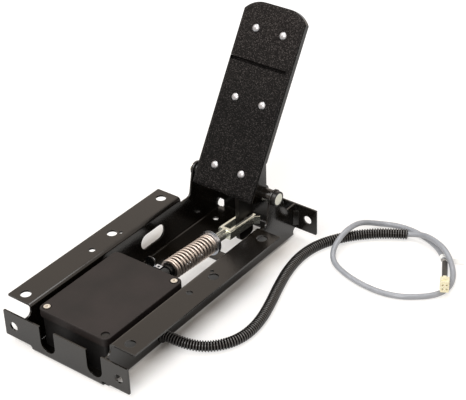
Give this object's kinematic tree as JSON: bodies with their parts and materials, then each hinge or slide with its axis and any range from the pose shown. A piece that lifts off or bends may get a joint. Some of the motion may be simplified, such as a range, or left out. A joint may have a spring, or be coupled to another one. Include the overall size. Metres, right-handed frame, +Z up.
{
  "type": "foot throttle pedal",
  "caption": "Foot throttle pedal on a flanged steel tray: grip pads on a hinged plate push a spring-loaded rod into a lidded sensor box with a coiled cable and plug",
  "frame": {"origin": "middle of the tray's flat underside, midway between its end plates", "axes": "+Y from the sensor box to the pedal end, +X to the cable side, +Z up from the underside"},
  "size_m": [0.3316, 0.3937, 0.2453],
  "materials": {
    "tray_paint": "satin black stoving paint on folded steel",
    "housing_paint": "matt black paint on a cast box",
    "lid_paint": "fine-textured dark grey paint",
    "gasket_rubber": "soft black rubber",
    "bright_zinc": "bright zinc plate",
    "blue_zinc": "bluish zinc plate",
    "warm_zinc": "yellow-tinted zinc plate",
    "spring_wire": "oil-hardened spring wire with a brown tint",
    "black_plastic": "moulded black nylon",
    "board": "green circuit board",
    "chip": "moulded sensor chip",
    "magnet_metal": "nickel-plated magnet",
    "tube_paint": "satin black paint",
    "pedal_paint": "satin black paint",
    "grip": "gritty anti-slip surface",
    "lever_steel": "plain rolled steel",
    "conduit_plastic": "ribbed black nylon conduit",
    "cable_sheath": "mid-grey cable sheath",
    "shield_braid": "tinned braid",
    "wrap_tape": "dark wrapped wires",
    "nylon_cream": "natural nylon",
    "label_white": "blank white marker"
  },
  "bodies": {
    "base": {"base_tray": "tray_paint", "sensor_housing": "housing_paint", "housing_lid": "lid_paint", "lid_gasket": "gasket_rubber", "lid_screws": "bright_zinc", "lid_plug": "black_plastic", "housing_screws": "blue_zinc", "sensor_board": "board", "board_screws": "bright_zinc", "hall_sensor": "chip", "rod_seal": "gasket_rubber", "cable_gland": "black_plastic", "gland_nut": "black_plastic", "wall_grommet": "gasket_rubber", "spring_bracket": "blue_zinc", "bracket_screws": "blue_zinc", "bracket_nuts": "blue_zinc", "bracket_plug": "black_plastic", "guide_bush": "black_plastic", "outer_spring": "spring_wire", "inner_spring": "spring_wire", "pivot_pin": "bright_zinc", "head_washer": "black_plastic", "tail_washer": "black_plastic", "pin_clip": "bright_zinc", "conduit": "conduit_plastic", "cable": "cable_sheath", "cable_shield": "shield_braid", "wire_sleeve": "wrap_tape", "cable_connector": "nylon_cream", "cable_flag": "label_white"},
    "pedal": {"pedal_plate": "pedal_paint", "lower_pad": "grip", "upper_pad": "grip", "pad_rivets": "bright_zinc", "hinge_tube": "tube_paint", "pivot_bushes": "black_plastic", "lever_plate": "lever_steel"},
    "rod": {"push_rod": "bright_zinc", "spring_washers": "blue_zinc", "stop_ring": "warm_zinc", "fork_head": "warm_zinc", "fork_pin": "bright_zinc", "fork_clip": "warm_zinc", "magnet_holder": "black_plastic", "magnet": "magnet_metal"}
  },
  "joints": [
    {"name": "pedal_hinge", "type": "hinge", "parent": "base", "child": "pedal", "pos_m": [0, 0.1185, 0.069], "axis": [-1, 0, 0], "range_deg": [0, 18], "stiffness_Nm_per_rad": 12, "springref_deg": -17.19},
    {"name": "rod_slide", "type": "slide", "parent": "base", "child": "rod", "axis": [0, -0.9974, 0.0725], "range_m": [0, 0.0145], "deforming": ["outer_spring", "inner_spring"]}
  ],
  "couplings": [
    {"joint": "rod_slide", "follows": "pedal_hinge", "m_per_rad": 0.0444}
  ]
}
